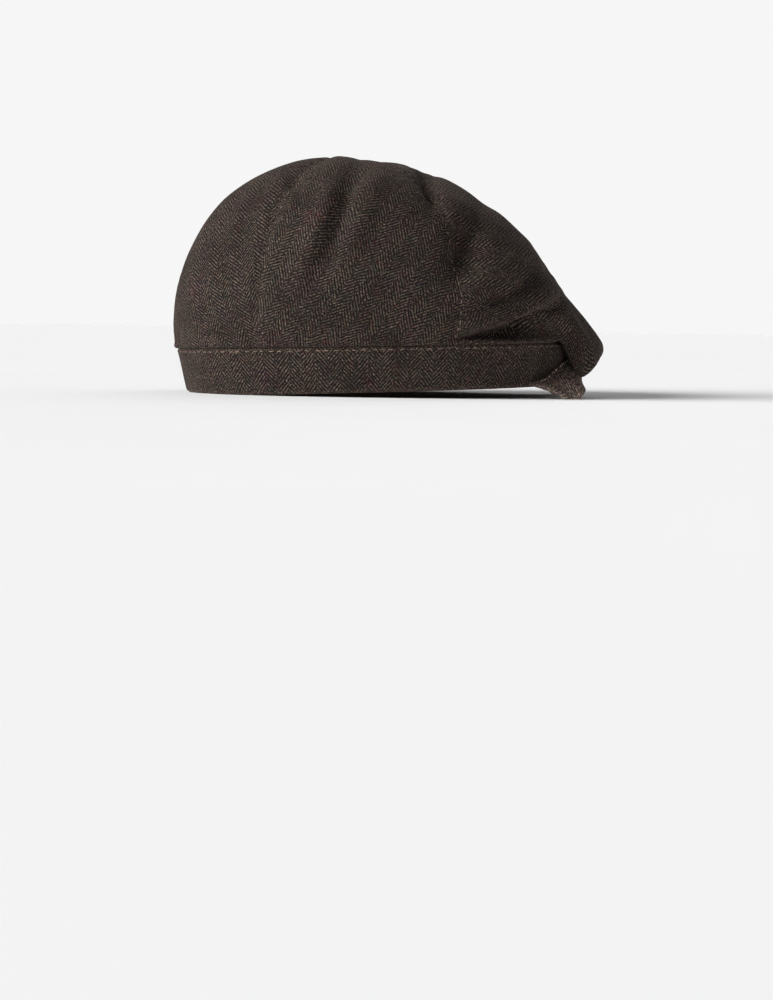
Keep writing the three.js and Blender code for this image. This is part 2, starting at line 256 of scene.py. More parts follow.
@dataclass(frozen=True)
class Fold:
    """A fold of the crown, seen from the side.

    Its points are shares of the band's length from the back, and of the crown's height. The spread
    is a share of the crown's height, and the lift is in hundredths of it: a hollow is negative.
    """

    name: str
    side: Side
    kind: FoldKind
    start: Pair
    via: Pair
    end: Pair
    spread: float
    lift: float

    def nearest(self, seen: Array, scale: Array) -> tuple[Array, Array]:
        """Finds how far places are from the fold's line.

        Args:
            seen: places as seen from the side, in metres.
            scale: the length and height that the fold's points are shares of.

        Returns:
            The distance of each place, and where along the line it is nearest, from 0 to 1.
        """
        start, via, end = (np.array(place) * scale for place in (self.start, self.via, self.end))
        share = np.linspace(0, 1, FOLD_STEPS + 1)[:, None]
        line = (1 - share) ** 2 * start + 2 * share * (1 - share) * via + share**2 * end
        gap = np.full(seen.shape[:-1], np.inf)
        along = np.zeros(seen.shape[:-1])
        for i, (a, b) in enumerate(zip(line, line[1:])):
            step = b - a
            t = np.clip(((seen - a) @ step) / (step @ step), 0, 1)
            off = np.linalg.norm(seen - a - t[..., None] * step, axis=-1)
            closer = off < gap
            gap = np.where(closer, off, gap)
            along = np.where(closer, (i + t) / FOLD_STEPS, along)
        return gap, along

    def profile(self, gap: Array) -> Array:
        """How much of the lift is left beside the fold's line.

        Args:
            gap: distances from the line, as shares of the spread.

        Returns:
            A share of the lift for each.
        """
        if self.kind is FoldKind.CREASE:
            return np.exp(-CREASE_FALL * (np.sqrt(gap**2 + CREASE_ROUND) - CREASE_TOP))
        return np.exp(-(gap**2))


RIGHT, LEFT, SOFT, CREASE = Side.RIGHT, Side.LEFT, FoldKind.SOFT, FoldKind.CREASE
FOLDS = (
    Fold("top pleat", RIGHT, SOFT, (0.465, 0.97), (0.43, 0.62), (0.36, 0.31), 0.052, -3.8),
    Fold("pleat ridge", RIGHT, SOFT, (0.405, 0.95), (0.38, 0.62), (0.3, 0.3), 0.055, 2.2),
    Fold("second ridge", RIGHT, SOFT, (0.52, 0.93), (0.49, 0.7), (0.42, 0.4), 0.055, 1.8),
    Fold("rear pinch", RIGHT, SOFT, (0.28, 0.92), (0.31, 0.83), (0.325, 0.7), 0.034, -2.0),
    Fold("front dent", RIGHT, SOFT, (0.61, 0.92), (0.64, 0.86), (0.655, 0.72), 0.042, -7.0),
    Fold("upper hollow", RIGHT, SOFT, (0.715, 0.33), (0.73, 0.5), (0.77, 0.68), 0.075, -6.6),
    Fold("middle ridge", RIGHT, SOFT, (0.7, 0.25), (0.8, 0.31), (0.9, 0.52), 0.055, 1.8),
    Fold("lower hollow", RIGHT, SOFT, (0.73, 0.165), (0.84, 0.215), (0.94, 0.36), 0.055, -4.6),
    Fold("lower ridge", RIGHT, SOFT, (0.74, 0.095), (0.86, 0.105), (0.96, 0.265), 0.036, 3.8),
    Fold("deep crease", RIGHT, CREASE, (0.71, 0.01), (0.87, 0.032), (0.975, 0.205), 0.05, -9.5),
    Fold("left pleat", LEFT, SOFT, (0.5, 0.95), (0.5, 0.75), (0.45, 0.4), 0.055, -2.8),
    Fold("left ridge high", LEFT, SOFT, (0.44, 0.93), (0.43, 0.7), (0.38, 0.4), 0.055, 1.9),
    Fold("left dent", LEFT, CREASE, (0.62, 0.92), (0.65, 0.82), (0.66, 0.7), 0.045, -4.4),
    Fold("left hollow", LEFT, SOFT, (0.7, 0.38), (0.74, 0.5), (0.81, 0.64), 0.08, -2.6),
    Fold("left ridge", LEFT, SOFT, (0.71, 0.27), (0.81, 0.33), (0.92, 0.5), 0.06, 1.4),
    Fold("left low ridge", LEFT, SOFT, (0.75, 0.1), (0.86, 0.12), (0.96, 0.25), 0.045, 1.0),
    Fold("left crease", LEFT, CREASE, (0.7, 0.015), (0.86, 0.03), (0.975, 0.2), 0.045, -2.6),
)


@dataclass(frozen=True)
class BandForm:
    """The oval of the head opening and the faces of the band, in metres."""

    centre_x: float
    width: float
    front_height: float
    length: float = 214 * MM
    height: float = 24 * MM
    wall: float = 3 * MM
    taper: float = 4.5 * MM
    roundness: float = 1.5
    flare: float = 1.4 * MM
    bulge: float = 3.2 * MM
    oval_power: float = 2.3
    foot_share: float = 0.16
    peak_width: float = 106 * MM

    @classmethod
    def from_frame(cls) -> "BandForm":
        """Takes the band's place and sizes from its solid in the frame.

        Returns:
            The form of the band.
        """
        low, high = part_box("band")
        centre_x = low[0] + cls.flare + cls.length / 2
        return cls(centre_x, high[1] - low[1] - 2 * cls.flare, high[2])

    @property
    def slope(self) -> float:
        """How steeply the band climbs towards the front."""
        return (self.front_height - self.height) / self.length

    def oval(self, turn: Array, grow: Union[float, Array] = 0.0) -> Array:
        """Points of the band's outer oval.

        Args:
            turn: turns from the front centre.
            grow: how much larger each half axis is.

        Returns:
            X and Y of each point, with X measured from the band's middle.
        """
        power = 2 / self.oval_power
        c, s = np.cos(turn), np.sin(turn)
        x = np.sign(c) * np.abs(c) ** power * (self.length / 2 + grow)
        y = np.sign(s) * np.abs(s) ** power * (self.width / 2 + grow)
        return np.stack([x, y], axis=-1)

    def along(self, x: Array) -> Array:
        """Share of the band's length at X, from its back."""
        return x / self.length + 0.5

    def seam_height(self, x: Array) -> Array:
        """Height of the band's top edge."""
        return self.height + self.along(x) * self.length * self.slope

    def hem_height(self, x: Array) -> Array:
        """Height of the band's lower edge, which lies flat at the back."""
        ramp = np.clip((self.along(x) - self.foot_share) / (1 - self.foot_share), 0, 1)
        return ramp * self.length * self.slope

    @property
    def corner_turn(self) -> float:
        """Turn of the oval at the peak's corners."""
        return math.asin((self.peak_width / self.width) ** (self.oval_power / 2))

    @property
    def corner_x(self) -> float:
        """How far forward the peak's corners lie."""
        return float(self.oval(np.array(self.corner_turn))[0])

    def forward(self, x: Array) -> Array:
        """Share of the way from the peak's corners to the middle of the front."""
        return np.clip((x - self.corner_x) / (self.length / 2 - self.corner_x), 0, 1)

    def grow(self, x: Array, share: Array) -> Array:
        """How far the band's face stands out from the oval, at a share of its height."""
        drawn = self.bulge * smooth_step(self.forward(x)) * np.sin(math.pi * share**2.1)
        return self.flare * share**4 - self.taper * (1 - share) ** self.roundness + drawn

    def grow_at(self, x: Array, height: Array) -> Array:
        """How far the band's face stands out from the oval, at a height."""
        low = self.hem_height(x)
        return self.grow(x, np.clip((height - low) / (self.seam_height(x) - low), 0, 1))


@dataclass(frozen=True)
class CrownForm:
    """The form of the crown over the band, in metres."""

    band: BandForm
    height: float = 105 * MM
    apex_setback: float = 11 * MM
    apex_rise: float = 0.962
    hem_reach: float = 0.026
    hem_drop: float = 0.35 * MM
    front_share: float = 0.352
    side_share: float = 0.335
    puff: float = 1.4 * MM
    seam_sink: float = 1.1 * MM
    seam_spread: float = 3.4 * MM
    puff_rise: float = 0.29
    apex_calm: float = 28 * MM
    fold_rise: float = 0.035
    fold_wander: float = 1.6 * MM
    fold_wander_size: float = 38 * MM
    fold_end: float = 0.3
    side_blend: float = 21 * MM
    crowding: float = 0.65
    row_power: float = 1.12
    pucker: float = 0.32 * MM
    pucker_length: float = 8.5 * MM
    pucker_spread: float = 7 * MM
    hem_wave: float = 0.35 * MM
    hem_wave_length: float = 13 * MM
    hem_wave_spread: float = 14 * MM
    hem_hold: float = 2.5 * MM
    slack: float = 0.75 * MM
    slack_size: float = 62 * MM
    slack_rise: float = 0.17
    fine_slack: float = 0.225 * MM
    fine_slack_size: float = 24 * MM
    seam_wear: WearLine = WearLine(1.2 * MM, 1.1 * MM, 0.5)
    hem_wear: WearLine = WearLine(0.0, 2.5 * MM, 0.7)
    crest_height: float = 3 * MM
    crest_wear: float = 0.5

    def around(self) -> tuple[Array, Array]:
        """Turns all the way round, and the distance along the band at each."""
        turns = np.linspace(0, FULL_TURN, 1441)
        return turns, lengths_along(self.band.oval(turns))

    def seam_turns(self) -> list[float]:
        """Finds where the six seams meet the band.

        Returns:
            Turns of the oval, from the front centre round to it again.
        """
        turns, lengths = self.around()
        half = lengths[-1] / 2
        front = float(np.interp(self.front_share * half, lengths, turns))
        rear = float(np.interp((self.front_share + self.side_share) * half, lengths, turns))
        return [0, front, rear, math.pi, FULL_TURN - rear, FULL_TURN - front, FULL_TURN]

    def cells_at(self, angle: float) -> Array:
        """Eases between the rows of the table of sections.

        Args:
            angle: degrees from the front.

        Returns:
            The section's places at that angle, from the lip up to the crest.
        """
        angles = np.array([row.angle for row in SECTIONS], dtype=float)
        cells = np.array([row.cells() for row in SECTIONS])
        k = int(np.clip(np.searchsorted(angles, angle, side="right") - 1, 0, len(angles) - 2))
        slopes = np.zeros_like(cells)
        slopes[1:-1] = (cells[2:] - cells[:-2]) / (angles[2:] - angles[:-2])[:, None, None]
        span = angles[k + 1] - angles[k]
        t = min(max((angle - angles[k]) / span, 0.0), 1.0)
        start = (2 * t**3 - 3 * t**2 + 1) * cells[k] + (t**3 - 2 * t**2 + t) * span * slopes[k]
        end = (3 * t**2 - 2 * t**3) * cells[k + 1] + (t**3 - t**2) * span * slopes[k + 1]
        return start + end

    def plain(self, turns: Array, rises: Array) -> Array:
        """The smooth crown.

        Args:
            turns: turns of the oval, one for each column.
            rises: shares of the way from the band to the top point, one for each row.

        Returns:
            Points with a row for each rise and a column for each turn, X from the band's middle.
        """
        columns = []
        for turn in turns:
            seam = self.band.oval(np.array(turn))
            outward = seam + np.array([self.apex_setback, 0.0])
            radius = float(np.linalg.norm(outward))
            angle = math.degrees(abs(math.atan2(outward[1], outward[0])))
            hem = [[1.0, 0.0], [1 + self.hem_reach, self.hem_reach / 2]]
            cells = np.vstack([hem, self.cells_at(angle), [[0.0, self.apex_rise]]])
            line = curve_through(cells * [radius, self.height], 20)
            travelled = lengths_along(line)
            reach = np.interp(rises * travelled[-1], travelled, line[:, 0])
            climb = np.interp(rises * travelled[-1], travelled, line[:, 1])
            x = outward[0] / radius * reach - self.apex_setback
            y = outward[1] / radius * reach
            columns.append(np.stack([x, y, self.band.seam_height(x) - self.hem_drop + climb], axis=-1))
        return np.stack(columns, axis=1)

    def normals(self, points: Array) -> Array:
        """Finds the way that the crown faces.

        Args:
            points: a grid of crown points.

        Returns:
            The outward direction at each.
        """
        across = np.gradient(points, axis=1)
        up = np.gradient(points, axis=0)
        return unit(np.cross(across, up))

    def fold_lift(self, points: Array) -> Array:
        """Adds up the folds.

        Args:
            points: places on the crown.

        Returns:
            How far the folds lift or sink the cloth at each.
        """
        climb = points[..., 2] - self.band.seam_height(points[..., 0])
        seen = np.stack([self.band.along(points[..., 0]) * self.band.length, climb], axis=-1)
        scale = np.array([self.band.length, self.height])
        wander = ripple(points, self.fold_wander_size, Seed.FOLDS) * self.fold_wander
        total = np.zeros(points.shape[:-1])
        for fold in FOLDS:
            gap, along = fold.nearest(seen, scale)
            shape = fold.profile((gap + wander) / (fold.spread * self.height))
            fade = self.fold_end + (1 - self.fold_end) * np.sin(math.pi * along)
            own_side = smooth_step(fold.side.value * points[..., 1] / self.side_blend)
            total += fold.lift * self.height / 100 * fade * shape * own_side
        return total

    def wear(self, points: Array, flat: Array) -> Array:
        """Finds how worn a panel is: along its seams, at its hem and on the crests of its folds.

        Args:
            points: the panel's points.
            flat: how far each lies across and up the panel along the cloth.

        Returns:
            The wear at each, from 0 to 1.
        """
        from_seam = np.abs(np.abs(flat[..., 0]) - np.abs(flat[:, :1, 0]))
        crests = np.clip(self.fold_lift(points) / self.crest_height, 0, 1) * self.crest_wear
        return np.clip(self.seam_wear.at(from_seam) + self.hem_wear.at(flat[..., 1]) + crests, 0, 1)

    def waver(self, points: Array) -> Array:
        """Unevenness of the small waves beside seams and hem."""
        return ripple(points, 30 * MM, Seed.WAVER) * 0.9

    def seam_lift(self, points: Array, across: Array, climb: Array) -> Array:
        """Puffs the cloth between the seams, and sinks and puckers it beside them.

        Args:
            points: the panel's smooth points.
            across: how far each lies from the first seam, along the cloth.
            climb: the share of the way up the panel, one for each row.

        Returns:
            The lift at each point.
        """
        width = across[:, -1:]
        share = across / np.maximum(width, 1e-9)
        from_seam = np.minimum(across, width - across)
        reach = np.hypot(points[..., 0] + self.apex_setback, points[..., 1])
        away = smooth_step(climb / self.puff_rise) * smooth_step(reach / self.apex_calm)
        swell = self.puff * np.sin(math.pi * share)
        sink = self.seam_sink * np.exp(-((from_seam / self.seam_spread) ** 2))
        waves = FULL_TURN * climb * 2 * self.height / self.pucker_length
        pucker = self.pucker * np.sin(waves + 3 * self.waver(points))
        pucker *= np.exp(-((from_seam / self.pucker_spread) ** 2))
        return away * (swell - sink + pucker)

    def hem_lift(self, points: Array, turns: Array, up: Array) -> Array:
        """Makes small uneven waves just above the hem.

        Args:
            points: the panel's smooth points.
            turns: the turn of the oval at each column.
            up: how far each point lies above the hem, along the cloth.

        Returns:
            The lift at each point.
        """
        around = np.interp(turns, *self.around())
        wave = np.sin(FULL_TURN * around / self.hem_wave_length + 4 * self.waver(points))
        fade = np.exp(-((up / self.hem_wave_spread) ** 2)) * smooth_step(up / self.hem_hold)
        return self.hem_wave * wave * fade

    def panel(self, start: float, end: float, columns: int, rows: int) -> tuple[Array, Array]:
        """A crown panel between two seams.

        Args:
            start: turn of the first seam.
            end: turn of the second seam.
            columns: steps across the panel.
            rows: steps up the panel.

        Returns:
            The panel's points, and how far each lies across and up the panel along the cloth.
        """
        even = np.linspace(0, 1, columns + 1)
        crowded = even - self.crowding * np.sin(FULL_TURN * even) / FULL_TURN
        turns = start + (end - start) * crowded
        rises = np.linspace(0, 1, rows + 1) ** self.row_power
        climb = rises[:, None]
        points = self.plain(turns, rises)
        outward = self.normals(points)
        outward[-1] = np.array([0.0, 0.0, 1.0])
        across_steps = np.linalg.norm(np.diff(points, axis=1), axis=-1)
        across = np.concatenate([np.zeros((rows + 1, 1)), np.cumsum(across_steps, axis=1)], axis=1)
        up = np.repeat(lengths_along(points[:, columns // 2])[:, None], columns + 1, axis=1)
        slack = self.slack * ripple(points, self.slack_size, Seed.SLACK)
        slack += self.fine_slack * ripple(points, self.fine_slack_size, Seed.FINE_SLACK)
        lift = self.seam_lift(points, across, climb) + self.hem_lift(points, turns, up)
        lift += slack * smooth_step(climb / self.slack_rise)
        lift += self.fold_lift(points) * smooth_step(climb / self.fold_rise)
        points = points + outward * lift[..., None]
        return points, np.stack([across - across[:, -1:] / 2, up], axis=-1)


@dataclass
class Cloth:
    """Turns grids of points into cloth pieces."""

    name: str
    material: bpy.types.Material
    slot: str
    replaces: Sequence[str] = ()

    def lay(self, points: Array, weave: Array, wear: Array, close: bool = False) -> bmesh.types.BMesh:
        """Lays a flat grid over points.

        Args:
            points: the places, in rows and columns.
            weave: where each place lies on the cloth, in metres.
            wear: how worn the cloth is at each place, from 0 to 1.
            close: whether the last column meets the first.

        Returns:
            The laid grid.
        """
        rows, columns = points.shape[0] - 1, points.shape[1] - 1
        bm = bmesh.new()
        bmesh.ops.create_grid(bm, x_segments=columns, y_segments=rows, size=1.0)
        layer = bm.loops.layers.uv.new(WEAVE_MAP)
        worn = bm.verts.layers.float.new(WEAR_LAYER)
        order = {}
        for vert in bm.verts:
            j = round((vert.co.x + 1) / 2 * columns)
            i = round((vert.co.y + 1) / 2 * rows)
            order[vert.index] = (i, j)
        for face in bm.faces:
            for loop in face.loops:
                loop[layer].uv = weave[order[loop.vert.index]]
        for vert in bm.verts:
            vert.co = points[order[vert.index]]
            vert[worn] = wear[order[vert.index]]
        if close:
            bmesh.ops.remove_doubles(bm, verts=bm.verts, dist=0.01 * MM)
        bmesh.ops.recalc_face_normals(bm, faces=bm.faces)
        return bm

    def finish(self, bm: bmesh.types.BMesh) -> bpy.types.Object:
        """Makes the object, dresses it, hangs it under the root body and hides the frame's parts that it
        replaces.

        Args:
            bm: the finished shape, which is freed.

        Returns:
            The piece.
        """
        for face in bm.faces:
            face.smooth = True
        piece = mesh_object(self.name, bm, self.material)
        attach(piece, "root")
        if self.replaces:
            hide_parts(*self.replaces)
        log.info("%s: %d faces", self.name, len(piece.data.polygons))
        return piece


def turn_outwards(bm: bmesh.types.BMesh, centre: Vector) -> None:
    """Turns an open sheet's faces away from a point, if they look towards it.

    Args:
        bm: the sheet.
        centre: the point.
    """
    score = sum((face.calc_center_median() - centre).dot(face.normal) for face in bm.faces)
    if score < 0:
        bmesh.ops.reverse_faces(bm, faces=bm.faces)


@dataclass
class Crown:
    """The six panels of the crown."""

    form: CrownForm
    material: bpy.types.Material
    wall: float = 2 * MM
    columns: int = 90
    rows: int = 170
    grain: dict[int, float] = field(
        default_factory=lambda: {1: -75.0, 2: 33.0, 3: -21.0, 4: 21.0, 5: -33.0, 6: 75.0}
    )
    weave_shift: Pair = (0.37, 0.53)
    sheets: dict[int, tuple[Array, Array]] = field(default_factory=dict)

    def build(self) -> None:
        """Builds the panels, each cut on its own slant of the cloth."""
        turns = self.form.seam_turns()
        shift = np.array([self.form.band.centre_x, 0.0, 0.0])
        for number, (start, end) in enumerate(zip(turns, turns[1:]), start=1):
            points, flat = self.form.panel(start, end, self.columns, self.rows)
            self.sheets[number] = (points + shift, flat)
            slant = math.radians(self.grain[number])
            spin = np.array([[math.cos(slant), math.sin(slant)], [-math.sin(slant), math.cos(slant)]])
            weave = flat @ spin.T + np.array(self.weave_shift) * number
            name = f"crown_cloth_{number}"
            cloth = Cloth(name, self.material, "crown_wool", [f"crown_panel_{number}"])
            bm = cloth.lay(points + shift, weave, self.form.wear(points, flat), close=True)
            turn_outwards(bm, Vector((0, 0, self.form.band.height)))
            thicken = cloth.finish(bm).modifiers.new("wall", "SOLIDIFY")
            thicken.thickness = self.wall
            thicken.offset = -1

    def beside_seam(self, number: int, at_end: bool, away: float) -> tuple[Array, Array]:
        """A line on a panel that runs beside one of its seams.

        Args:
            number: the panel's number.
            at_end: whether it runs beside the panel's second seam.
            away: how far from the seam.

        Returns:
            The line's points, and the way that the cloth faces at each.
        """
        points, flat = self.sheets[number]
        outward = self.form.normals(points)
        across = flat[..., 0] - flat[:, :1, 0]
        rows = [i for i in range(3, len(points)) if across[i, -1] > 4 * away]
        line, facing = [], []
        for i in rows:
            place = across[i, -1] - away if at_end else away
            line.append(at_distance(place, across[i], points[i]))
            facing.append(at_distance(place, across[i], outward[i]))
        return np.array(line), np.array(facing)


@dataclass
class Band:
    """The doubled cloth band round the head."""

    form: BandForm
    material: bpy.types.Material
    columns: int = 320
    face_rows: int = 26
    unevenness: float = 0.45 * MM
    unevenness_size: float = 45 * MM
    worn_share: float = 0.12

    def face(self, turns: Array, shares: Array, inset: float = 0.0) -> Array:
        """Points of the band's outer or inner face.

        Args:
            turns: turns of the oval.
            shares: shares of the way up the face, as many as turns or to be combined with them.
            inset: how far inside the outer face.

        Returns:
            The points, with X measured from the middle of the cap.
        """
        edge = self.form.oval(turns)
        low = self.form.hem_height(edge[..., 0])
        height = low + (self.form.seam_height(edge[..., 0]) - low) * shares
        grow = self.form.grow(edge[..., 0], shares)
        spot = self.form.oval(turns, grow - inset)
        place = np.concatenate([spot, height[..., None]], axis=-1)
        soft = ripple(place, self.unevenness_size, Seed.BAND) * self.unevenness
        soft = soft * np.sin(math.pi * shares) ** 0.5
        outward = unit(np.concatenate([spot, np.zeros_like(height)[..., None]], axis=-1))
        place = place + outward * soft[..., None]
        place[..., 0] += self.form.centre_x
        return place

    def build(self) -> None:
        """Builds the band as one closed tube of cloth, with round, worn edges."""
        shares = np.linspace(0, 1, self.face_rows)
        turns = np.linspace(-math.pi, math.pi, self.columns + 1)
        turn_grid, share_grid = np.meshgrid(turns, shares)
        outer = self.face(turn_grid, share_grid)
        inner = self.face(turn_grid, share_grid, self.form.wall)
        half = self.form.wall / 2
        from_edge = np.minimum(share_grid, 1 - share_grid) * self.form.height
        pull = half * (1 - np.sqrt(1 - (1 - np.clip(from_edge / half, 0, 1)) ** 2))
        inward = unit(inner - outer)
        outer = outer + inward * pull[..., None]
        inner = inner - inward * pull[..., None]
        loop = np.concatenate([outer, inner[::-1], outer[:1]], axis=0)
        around = lengths_along(self.face(turns, np.full_like(turns, 0.5)))
        climb = np.concatenate([shares, 1 + shares, [2.0]])
        weave = np.stack(np.meshgrid(around, climb * self.form.height), axis=-1)
        from_middle = np.abs(climb % 1 - 0.5)
        worn = smooth_step((from_middle - 0.5 + self.worn_share) / self.worn_share)
        wear = np.repeat(worn[:, None], len(turns), axis=1)
        cloth = Cloth("band_cloth", self.material, "band_wool", ["band"])
        cloth.finish(cloth.lay(loop, weave, wear, close=True))


@dataclass(frozen=True)
class EdgePlace:
    """A place on the peak's free edge.

    Forward is a share of the peak's reach, side of half its width, and rise of the height of its
    joint at the middle.
    """

    forward: float
    side: float
    rise: float


PEAK_EDGE = (
    EdgePlace(1.0, 0.0, 0.58),
    EdgePlace(0.99, 0.27, 0.5),
    EdgePlace(0.96, 0.54, 0.33),
    EdgePlace(1.0, 0.82, 0.16),
    EdgePlace(0.93, 0.94, 0.1),
    EdgePlace(0.78, 0.98, -0.02),
    EdgePlace(0.4, 1.0, 0.17),
    EdgePlace(0.02, 0.98, 0.28),
)


@dataclass
class Peak:
    """The short arched peak."""

    form: BandForm
    material: bpy.types.Material
    wall: float = 2.6 * MM
    reach: float = 27 * MM
    below: float = 5.0 * MM
    corner_depth: float = 2 * MM
    arch: float = 0.6 * MM
    climb: float = 2.3
    columns: int = 120
    rows: int = 22
    seat: float = 0.2 * MM
    edge_steps: int = 8
    edge_reach: float = 0.8
    weave_stretch: float = 1.25
    rim_wear: WearLine = WearLine(0.0, 2 * MM, 0.4)

    @property
    def joint_height(self) -> float:
        """Height of the joint at the middle."""
        return float(self.form.seam_height(np.array(self.form.length / 2))) - self.below

    def joint(self, shares: Array) -> Array:
        """Finds where the peak meets the band.

        Args:
            shares: places across, from -1 at one corner to 1.

        Returns:
            The points of the joint, X from the band's middle.
        """
        edge_x = self.form.oval(shares * self.form.corner_turn)[..., 0]
        low = float(self.form.hem_height(np.array(self.form.corner_x))) + self.corner_depth
        height = low + (self.joint_height - low) * self.form.forward(edge_x) ** self.climb
        grow = self.form.grow_at(edge_x, height) + self.seat
        spot = self.form.oval(shares * self.form.corner_turn, grow)
        return np.concatenate([spot, height[..., None]], axis=-1)

    def rim(self, shares: Array) -> Array:
        """Finds the free edge.

        Args:
            shares: places across, from -1 at one corner to 1.

        Returns:
            The points of the edge, X from the band's middle.
        """
        half = self.form.peak_width / 2
        rows = [
            [self.form.corner_x + p.forward * self.reach, p.side * half, p.rise * self.joint_height]
            for p in PEAK_EDGE
        ]
        line = curve_through(np.array(rows), 24)
        spot = at_distance(np.abs(shares), np.linspace(0, 1, len(line)), line)
        spot[..., 1] *= np.sign(shares)
        return spot

    def surface(self, shares: Array, depths: Array) -> Array:
        """Lays the peak's middle surface.

        Args:
            shares: places across, from -1 at one corner to 1.
            depths: places from the joint at 0 to the free edge at 1.

        Returns:
            The surface's points, X from the band's middle.
        """
        joint, rim = self.joint(shares), self.rim(shares)
        outward = np.stack([np.ones_like(shares), 0.9 * shares, np.full_like(shares, 0.35)], axis=-1)
        bow = self.arch * np.sin(math.pi * depths)[..., None] * unit(outward)
        return joint + (rim - joint) * depths[..., None] + bow

    def faces(self, middle: Array) -> Array:
        """Finds the way that the upper face looks.

        Args:
            middle: a grid of points of the middle surface.

        Returns:
            The direction at each.
        """
        outward = unit(np.cross(np.gradient(middle, axis=1), np.gradient(middle, axis=0)))
        if outward[0, middle.shape[1] // 2, 0] < 0:
            outward = -outward
        return outward

    def near_joint(self, shares: Array, away: float) -> tuple[Array, Array]:
        """A line on the upper face beside the joint.

        Args:
            shares: places across, from -1 at one corner to 1.
            away: how far from the joint.

        Returns:
            The line's points, and the way that the face looks at each.
        """
        middle = self.surface(*np.meshgrid(shares, np.linspace(0, 1, self.rows + 1)))
        outward = self.faces(middle)
        run = np.linalg.norm(middle[-1] - middle[0], axis=-1)
        place = np.clip(away / run, 0, 1) * self.rows
        low = np.floor(place).astype(int)
        part = (place - low)[:, None]
        columns = np.arange(len(shares))
        line = middle[low, columns] * (1 - part) + middle[low + 1, columns] * part
        facing = outward[low, columns]
        line = line + facing * self.wall / 2
        line[:, 0] += self.form.centre_x
        return line, facing

    def build(self) -> None:
        """Builds the peak as a plate with a round, worn edge."""
        columns = np.linspace(-1, 1, self.columns + 1)
        middle = self.surface(*np.meshgrid(columns, np.linspace(0, 1, self.rows + 1)))
        outward = self.faces(middle)
        to_rim = unit(middle[-1] - middle[-2]) * self.edge_reach
        half = self.wall / 2
        top = middle + outward * half
        under = middle - outward * half
        bends = [
            middle[-1] + half * (math.cos(a) * outward[-1] + math.sin(a) * to_rim)
            for a in np.linspace(0, math.pi, self.edge_steps + 1)[1:-1]
        ]
        loop = np.concatenate([top, np.array(bends), under[::-1], top[:1]], axis=0)
        loop[..., 2] = np.maximum(loop[..., 2], 0.0)
        loop[..., 0] += self.form.centre_x
        across = columns[None] * self.form.peak_width / 2 * self.weave_stretch
        down = lengths_along(loop[:, self.columns // 2])
        weave = np.stack(np.broadcast_arrays(across, down[:, None]), axis=-1)
        from_rim = np.abs(down - down[len(top) + len(bends) // 2])
        wear = np.repeat(self.rim_wear.at(from_rim)[:, None], self.columns + 1, axis=1)
        cloth = Cloth("peak_cloth", self.material, "peak_wool", ["peak"])
        bm = cloth.lay(loop, weave, wear, close=True)
        open_edges = [edge for edge in bm.edges if edge.is_boundary]
        bmesh.ops.holes_fill(bm, edges=open_edges, sides=0)
        bmesh.ops.recalc_face_normals(bm, faces=bm.faces)
        cloth.finish(bm)


@dataclass
class Stitching:
    """Rows of short stitches in thick thread, sunk unevenly into the wool."""

    material: bpy.types.Material
    pitch: float = 5.0 * MM
    length: float = 3.2 * MM
    thick: float = 0.45 * MM
    hidden: float = 0.08
    place_draw: Pair = (0.35, 0.65)
    length_draw: Pair = (0.55, 1.15)
    sink_draw: Pair = (-0.3, 0.2)

    def row(self, name: str, points: Array, normals: Array, slot: str) -> None:
        """Sews stitches along a line, as one piece.

        Args:
            name: name of the piece.
            points: the line that they follow.
            normals: the way the cloth faces at each point.
            slot: the material slot of the cloth, which is not used.
        """
        draw = np.random.default_rng(int(Seed.STITCHES))
        travelled = lengths_along(points)
        count = max(int(travelled[-1] / self.pitch), 1)
        bm = bmesh.new()
        for k in range(count):
            middle = (k + draw.uniform(*self.place_draw)) * travelled[-1] / count
            long = self.length * draw.uniform(*self.length_draw)
            sunk = self.thick * draw.uniform(*self.sink_draw)
            if draw.uniform() < self.hidden:
                continue
            at = Vector(at_distance(middle, travelled, points))
            ahead = Vector(at_distance(middle + self.length / 2, travelled, points))
            facing = Vector(at_distance(middle, travelled, normals)).normalized()
            run = (ahead - at).normalized()
            cross = facing.cross(run).normalized()
            turn = Matrix((run, cross, run.cross(cross))).transposed().to_4x4()
            size = Matrix.Diagonal((long / 2, self.thick / 2, self.thick / 2, 1.0))
            pose = Matrix.Translation(at + facing * sunk) @ turn @ size
            bmesh.ops.create_uvsphere(bm, u_segments=6, v_segments=6, radius=1.0, matrix=pose)
        Cloth(name, self.material, slot).finish(bm)


class Value:
    """A number or a node socket that takes Python's arithmetic."""

    def __init__(self, graph: "Graph", socket: bpy.types.NodeSocket) -> None:
        """Wraps a socket of a graph."""
        self.graph = graph
        self.socket = socket

    def _math(self, operation: str, *values: Number) -> "Value":
        """Adds a Math node over values."""
        return self.graph.math(operation, *values)

    def __add__(self, other: Number) -> "Value":
        """Adds."""
        return self._math("ADD", self, other)

    __radd__ = __add__

    def __mul__(self, other: Number) -> "Value":
        """Multiplies."""
        return self._math("MULTIPLY", self, other)

    __rmul__ = __mul__

    def __sub__(self, other: Number) -> "Value":
        """Subtracts."""
        return self._math("SUBTRACT", self, other)

    def __rsub__(self, other: Number) -> "Value":
        """Subtracts from a number."""
        return self._math("SUBTRACT", other, self)

    def __truediv__(self, other: Number) -> "Value":
        """Divides."""
        return self._math("DIVIDE", self, other)

    def __rtruediv__(self, other: Number) -> "Value":
        """Divides a number."""
        return self._math("DIVIDE", other, self)


